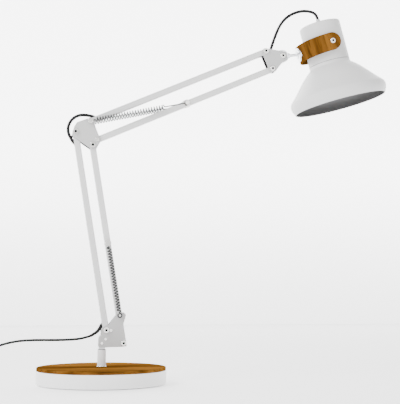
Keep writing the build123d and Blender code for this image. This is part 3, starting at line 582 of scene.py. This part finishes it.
# The middles of the socket screws are painted black, as painted shade in their recesses.
shade_socket_centres(socket_nickel, bolt_places, socket_shade_radius)
chrome = new_finish("polished_chrome", (0.84, 0.85, 0.87), 0.06, 1.0)
polish(chrome, speckle(chrome, 300.0), 0.04, 0.1)
black_nylon = new_finish("black_nylon", (0.02, 0.02, 0.02), 0.45)
polish(black_nylon, speckle(black_nylon, 500.0), 0.4, 0.55)
dress(base_plate_coat, "base_bracket_near", "base_bracket_far")
dress(plate_coat, "elbow_plate_near", "elbow_plate_far", "head_bracket_near", "head_bracket_far")
dress(tube_coat, "lower_rear_tube", "lower_front_tube", "upper_top_tube", "upper_bottom_tube")
dress(
    nylon, "lower_rear_bushes", "lower_front_bushes", "upper_top_bushes", "upper_bottom_bushes",
    "cap_pivot_bushes",
)
dress(nickel, "bracket_rivets", "lower_spring_screw", "upper_spring_clip")
dress(
    socket_nickel, "base_pivot_bolts", "elbow_bolts", "head_bracket_bolts", "neck_clamp_bolt",
    "yoke_screws",
)
dress(chrome, "post_collar", "neck_knuckle", "neck_ball_stud", "ball_socket")
dress(black_nylon, "swivel_bush")

# ---- Balance springs ----
# Two springs on each arm, wound from hard drawn wire, with a hook at each end. They hang on
# studs outside the plates and on a screw or a clip half way up the arm.

wire_radius = 0.0009
wound_radius = 0.0034
winding_pitch = 0.0046
spring_line = 0.0109
hook_bend = 0.0032
hook_reach = 0.0022
hook_sides = 8


def winding_tree(material):
    """Winds a wire along +Z from the origin."""
    tree = bpy.data.node_groups.new("winding", "GeometryNodeTree")
    tree.is_modifier = True
    sockets = {}
    for name in ("Wire Radius", "Coil Radius", "Turns", "Length"):
        sockets[name] = tree.interface.new_socket(name, in_out="INPUT", socket_type="NodeSocketFloat")
    tree.interface.new_socket("Geometry", in_out="OUTPUT", socket_type="NodeSocketGeometry")
    given = tree.nodes.new("NodeGroupInput")
    spiral = tree.nodes.new("GeometryNodeCurveSpiral")
    spiral.inputs["Resolution"].default_value = 14
    section = tree.nodes.new("GeometryNodeCurvePrimitiveCircle")
    section.inputs["Resolution"].default_value = 8
    wire = tree.nodes.new("GeometryNodeCurveToMesh")
    wire.inputs["Fill Caps"].default_value = True
    smooth = tree.nodes.new("GeometryNodeSetShadeSmooth")
    realize = tree.nodes.new("GeometryNodeRealizeInstances")
    coat = tree.nodes.new("GeometryNodeSetMaterial")
    coat.inputs["Material"].default_value = material
    result = tree.nodes.new("NodeGroupOutput")
    for start, end in (
        (given.outputs["Wire Radius"], section.inputs["Radius"]),
        (given.outputs["Coil Radius"], spiral.inputs["Start Radius"]),
        (given.outputs["Coil Radius"], spiral.inputs["End Radius"]),
        (given.outputs["Turns"], spiral.inputs["Rotations"]),
        (given.outputs["Length"], spiral.inputs["Height"]),
        (spiral.outputs["Curve"], wire.inputs["Curve"]),
        (section.outputs["Curve"], wire.inputs["Profile Curve"]),
        (wire.outputs["Mesh"], smooth.inputs["Geometry"]),
        (smooth.outputs["Geometry"], realize.inputs["Geometry"]),
        (realize.outputs["Geometry"], coat.inputs["Geometry"]),
        (coat.outputs["Geometry"], result.inputs["Geometry"]),
    ):
        tree.links.new(start, end)
    return tree, {name: socket.identifier for name, socket in sockets.items()}


def grown(tree, identifiers, sizes):
    """The plain mesh that a node tree makes for these sizes."""
    holder = bpy.data.objects.new("holder", bpy.data.meshes.new("holder"))
    scene.collection.objects.link(holder)
    modifier = holder.modifiers.new("maker", "NODES")
    modifier.node_group = tree
    for name, value in sizes.items():
        modifier[identifiers[name]] = value
    evaluated = holder.evaluated_get(bpy.context.evaluated_depsgraph_get())
    mesh = bpy.data.meshes.new_from_object(evaluated)
    bpy.data.objects.remove(holder)
    return mesh


def hook_line(coil_end, heading, stud):
    """From the side of the last turn to the middle line, out to the stud and round it."""
    sideways = Vector((-heading.z, 0, heading.x))
    line = []
    for step in range(7):
        angle = radians(15 * step)
        line.append(coil_end + sideways * wound_radius * cos(angle) + heading * hook_reach * sin(angle))
    for step in range(25):
        angle = radians(13.5 * step)
        line.append(stud - heading * hook_bend * cos(angle) + sideways * hook_bend * sin(angle))
    return line


def spring_pair(name, stud, post, coil_start, coil_end, tree, identifiers):
    """The near and the far spring of one arm, joined as one mesh."""
    pair = bmesh.new()
    length = coil_end - coil_start
    sizes = {
        "Wire Radius": wire_radius, "Coil Radius": wound_radius,
        "Turns": length / winding_pitch, "Length": length,
    }
    for side in (-1, 1):
        line_up = Vector((0, side * spring_line, 0))
        start, end = stud + line_up, post + line_up
        heading = (end - start).normalized()
        coil = grown(tree, identifiers, sizes)
        turn = Vector((0, 0, 1)).rotation_difference(heading).to_matrix().to_4x4()
        coil.transform(Matrix.Translation(start + heading * coil_start) @ turn)
        pair.from_mesh(coil)
        for coil_tip, way, target in (
            (start + heading * (coil_start + wire_radius), -heading, start),
            (start + heading * (coil_end - wire_radius), heading, end),
        ):
            rings = rings_along(hook_line(coil_tip, way, target), lambda travelled: wire_radius, hook_sides)
            pair.from_mesh(skin_mesh("hook", rings))
    mesh = bpy.data.meshes.new(name)
    pair.to_mesh(mesh)
    pair.free()
    return mesh


def middle_of(node):
    low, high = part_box(node)
    return (Vector(low) + Vector(high)) / 2


spring_steel = new_finish("drawn_spring_wire", (0.02, 0.02, 0.021), 0.45, 0.3)
polish(spring_steel, speckle(spring_steel, 900.0), 0.28, 0.46)
winding, winding_inputs = winding_tree(spring_steel)
lower_stud = Vector((0.028, 0, 0.1105))
lower_post = middle_of("lower_spring_screw")
lower_post.y = 0
upper_stud = pivots["upper_arm_tilt"].copy()
upper_post = pivots["upper_bottom_follow"] + (pivots["head_bracket_level"] - upper_stud) / 2
for name, stud, post, coil_span, bodies, replaced in (
    ("lower_spring_pair", lower_stud, lower_post, (0.007, 0.112), ("turntable", "lower_front_link"),
     "lower_springs"),
    ("upper_spring_pair", upper_stud, upper_post, (0.010, 0.125), ("elbow", "upper_bottom_link"),
     "upper_springs"),
):
    mesh = spring_pair(name, stud, post, *coil_span, winding, winding_inputs)
    springs = piece(name, mesh, spring_steel)
    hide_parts(replaced)
    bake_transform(springs)

# ---- Yoke ----
# A strap of bent oak plywood, oiled. Its open end carries the head on two screws, and the
# ball of the neck sits in a socket in its web.

yoke_lean = radians(18.8)
dress(oak("oiled_bent_oak", yoke_lean, (1.5, 1.5, 0.16)), "yoke")

# ---- Head ----
# A turned cap and a spun aluminium shade, powder coated inside and out, joined by a ring.
# Inside the shade the coat is painted dark grey as painted shade. The lampholder hangs from the
# clear gland that grips the lead, and holds an opal globe.

head_lean = radians(14.5)
head_down = Vector((sin(head_lean), 0, -cos(head_lean)))


def coat_with_shaded_inside(name, tone, inside_shade):
    """The white coat outside, and painted shade, a dark grey, where a surface faces the head's axis."""
    paint = white_coat(name, tone)
    tree = paint.node_tree
    place = tree.nodes.new("ShaderNodeTexCoord")
    from_axis = tree.nodes.new("ShaderNodeVectorMath")
    from_axis.operation = "SUBTRACT"
    from_axis.inputs[1].default_value = pivots["head_tilt"]
    along_axis = tree.nodes.new("ShaderNodeVectorMath")
    along_axis.operation = "PROJECT"
    along_axis.inputs[1].default_value = head_down
    radial = tree.nodes.new("ShaderNodeVectorMath")
    radial.operation = "SUBTRACT"
    facing = tree.nodes.new("ShaderNodeVectorMath")
    facing.operation = "DOT_PRODUCT"
    inside = tree.nodes.new("ShaderNodeMath")
    inside.operation = "LESS_THAN"
    inside.inputs[1].default_value = 0.0
    for start, end in (
        (place.outputs["Object"], from_axis.inputs[0]),
        (from_axis.outputs["Vector"], along_axis.inputs[0]),
        (from_axis.outputs["Vector"], radial.inputs[0]),
        (along_axis.outputs["Vector"], radial.inputs[1]),
        (radial.outputs["Vector"], facing.inputs[0]),
        (place.outputs["Normal"], facing.inputs[1]),
        (facing.outputs["Value"], inside.inputs[0]),
    ):
        tree.links.new(start, end)
    repaint(paint, inside.outputs["Value"], (inside_shade, inside_shade, inside_shade))
    return paint


cap_coat = white_coat("white_cap_coat", 0.58)
# Inside the shade the coat is painted a dark grey, as painted shade.
shade_coat = coat_with_shaded_inside("white_shade_coat", 0.6, 0.1)
holder_plastic = new_finish("lampholder_plastic", (0.7, 0.7, 0.67), 0.4)
polish(holder_plastic, speckle(holder_plastic, 300.0), 0.35, 0.48)
clear_nylon = new_finish("clear_nylon", (0.86, 0.88, 0.88), 0.3)
shader_input(clear_nylon, "Transmission Weight").default_value = 0.45
polish(clear_nylon, speckle(clear_nylon, 500.0), 0.22, 0.36)
opal = new_finish("opal_glass", (0.92, 0.91, 0.87), 0.18)
shader_input(opal, "Subsurface Weight").default_value = 0.3
shader_input(opal, "Subsurface Scale").default_value = 0.004
polish(opal, speckle(opal, 60.0), 0.14, 0.22)
dress(cap_coat, "head_cap")
dress(shade_coat, "shade")
# The ring shows only in the seam between cap and shade; its dark iron finish is painted shade for that
# seam.
dress(iron_and_seam_shade, "shade_ring")
dress(holder_plastic, "lampholder")
dress(clear_nylon, "cap_gland")
dress(opal, "bulb")

# ---- Table, room and lights ----
# A plain pale table in a white room, a wide wall far behind it that is brighter higher up, a
# soft light high on the left and a weak one in front.


def stage_sheet(name, corners, colour, glow):
    """A flat pale sheet for the table or the wall, which glows from one strength up to another."""
    mesh = bpy.data.meshes.new(name)
    mesh.from_pydata(corners, [], [tuple(range(len(corners)))])
    paper = new_finish(f"{name}_paper", colour, 0.9)
    polish(paper, speckle(paper, 30.0), 0.86, 0.95)
    shader_input(paper, "Emission Color").default_value = (1, 1, 1, 1)
    tree = paper.node_tree
    place = tree.nodes.new("ShaderNodeTexCoord")
    heights = tree.nodes.new("ShaderNodeSeparateXYZ")
    climb = tree.nodes.new("ShaderNodeMapRange")
    climb.interpolation_type = "SMOOTHSTEP"
    climb.inputs["From Max"].default_value = glow_height
    climb.inputs["To Min"].default_value = glow[0]
    climb.inputs["To Max"].default_value = glow[1]
    tree.links.new(place.outputs["Object"], heights.inputs["Vector"])
    tree.links.new(heights.outputs["Z"], climb.inputs["Value"])
    tree.links.new(climb.outputs["Result"], shader_input(paper, "Emission Strength"))
    mesh.materials.append(paper)
    sheet = bpy.data.objects.new(name, mesh)
    scene.collection.objects.link(sheet)


table_half = 9.0
wall_place = 3.2
wall_half = 7.0
wall_height = 5.0
glow_height = 1.0
wall_foot = -0.01
pale = (0.9, 0.9, 0.9)
table_corners = [
    (-table_half, -table_half, 0), (table_half, -table_half, 0), (table_half, table_half, 0),
    (-table_half, table_half, 0),
]
wall_corners = [
    (-wall_half, wall_place, wall_foot), (wall_half, wall_place, wall_foot),
    (wall_half, wall_place, wall_height), (-wall_half, wall_place, wall_height),
]
stage_sheet("table", table_corners, pale, (0.7, 0.7))
stage_sheet("wall", wall_corners, pale, (1.9, 5.0))

room = bpy.data.worlds.new("white_room")
room.use_nodes = True
room.node_tree.nodes["Background"].inputs["Color"].default_value = (1, 1, 1, 1)
room.node_tree.nodes["Background"].inputs["Strength"].default_value = 1.25
scene.world = room


def soft_light(name, place, target, size, power):
    light = bpy.data.lights.new(name, "AREA")
    light.size = size
    light.energy = power
    holder = bpy.data.objects.new(name, light)
    holder.location = place
    holder.rotation_euler = (Vector(target) - Vector(place)).to_track_quat("-Z", "Y").to_euler()
    scene.collection.objects.link(holder)


soft_light("high_left", (-1.5, -1.0, 1.7), (0.1, 0, 0.35), 1.0, 75.0)
soft_light("front_fill", (0.9, -2.4, 0.7), (0.1, 0, 0.3), 1.2, 10.0)
